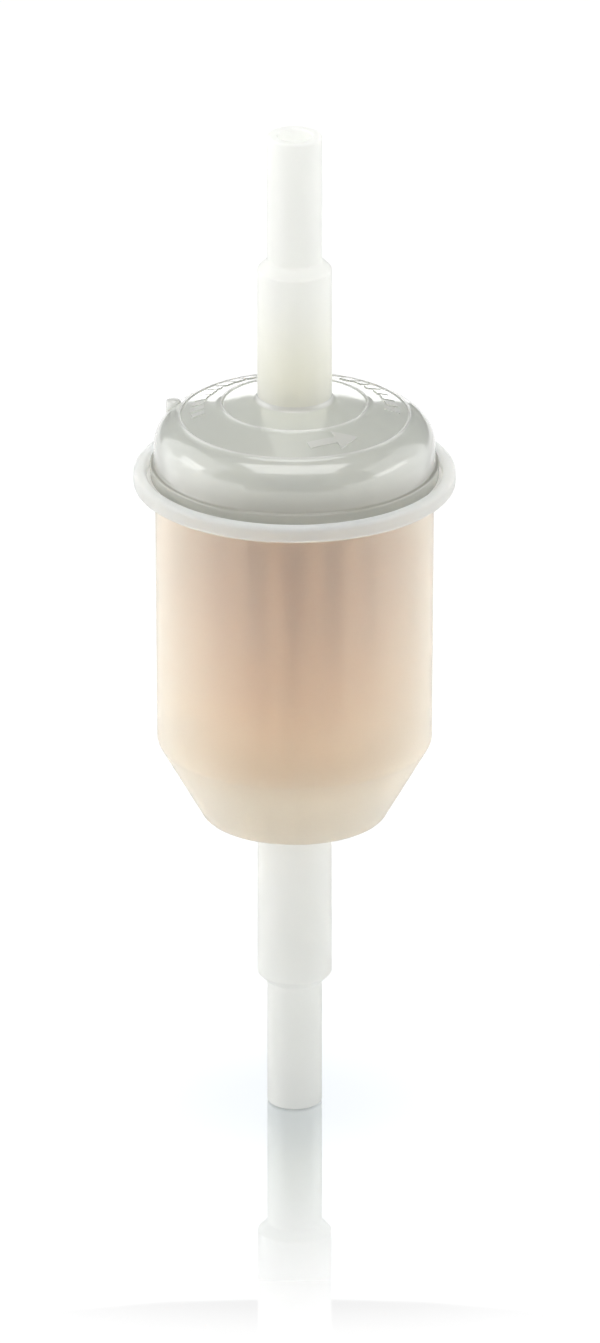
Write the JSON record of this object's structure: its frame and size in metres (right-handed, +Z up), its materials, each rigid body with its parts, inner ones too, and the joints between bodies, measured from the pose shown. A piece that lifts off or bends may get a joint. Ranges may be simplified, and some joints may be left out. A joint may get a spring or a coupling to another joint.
{
  "type": "inline fuel filter",
  "caption": "Small in-line fuel prefilter: welded translucent nylon bowl and domed lid with stepped hose spigots at both ends, round a pleated paper star.",
  "frame": {"origin": "centre of the lower hose spigot's end face", "axes": "+Z up along the filter's axis, from the bowl's spigot to the lid's; -Y faces the picture's camera"},
  "size_m": [0.0358, 0.0358, 0.1157],
  "materials": {
    "bowl_nylon": "milky translucent natural nylon, satin",
    "lid_nylon": "milky translucent natural nylon, glossy",
    "filter_paper": "tan resin-treated filter paper, matte",
    "disc_plastic": "moulded natural plastic, matte",
    "glue": "set adhesive, cream"
  },
  "bodies": {
    "root": {"housing_bowl": "bowl_nylon", "lid": "lid_nylon", "pleated_paper": "filter_paper", "paper_seam": "glue", "upper_end_disc": "disc_plastic", "lower_end_disc": "disc_plastic", "upper_glue_bead": "glue", "lower_glue_bead": "glue"}
  },
  "joints": []
}
